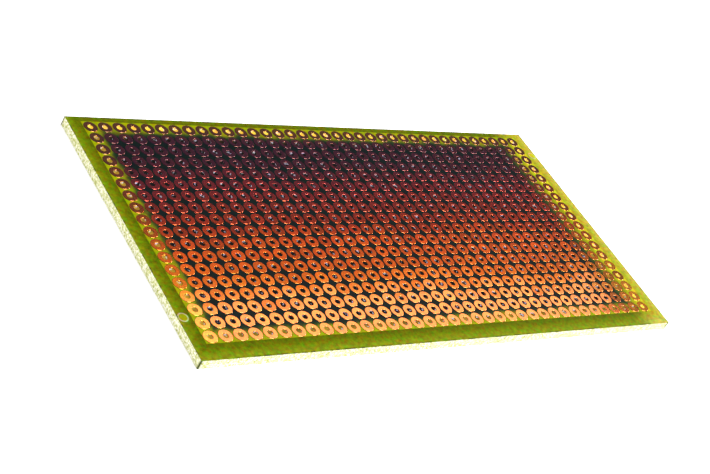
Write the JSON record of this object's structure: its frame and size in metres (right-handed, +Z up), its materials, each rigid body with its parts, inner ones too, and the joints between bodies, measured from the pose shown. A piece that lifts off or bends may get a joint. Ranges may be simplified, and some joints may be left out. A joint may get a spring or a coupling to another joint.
{
  "type": "prototype board",
  "caption": "Flat rectangular prototype board: glass-epoxy laminate with a grid of lead holes, round copper pads on one face and a bare rim.",
  "frame": {"origin": "centre of the board's lower face, in the plane that it lies on", "axes": "+Z up, towards the pads; +X along the rows of pads, the board's long way; +Y across the rows"},
  "size_m": [0.0984, 0.0496, 0.0016],
  "materials": {
    "glass_epoxy": "woven glass cloth in yellow-green epoxy, matt etched faces, rough pale sawn edges",
    "resist_lacquer": "clear glossy yellow-green lacquer",
    "copper_foil": "bare etched copper foil under a thin flux lacquer, glossy"
  },
  "bodies": {
    "root": {"laminate": "glass_epoxy", "resist_film": "resist_lacquer", "pad_row_01": "copper_foil", "pad_row_02": "copper_foil", "pad_row_03": "copper_foil", "pad_row_04": "copper_foil", "pad_row_05": "copper_foil", "pad_row_06": "copper_foil", "pad_row_07": "copper_foil", "pad_row_08": "copper_foil", "pad_row_09": "copper_foil", "pad_row_10": "copper_foil", "pad_row_11": "copper_foil", "pad_row_12": "copper_foil", "pad_row_13": "copper_foil", "pad_row_14": "copper_foil", "pad_row_15": "copper_foil", "pad_row_16": "copper_foil", "pad_row_17": "copper_foil", "pad_row_18": "copper_foil"}
  },
  "joints": []
}
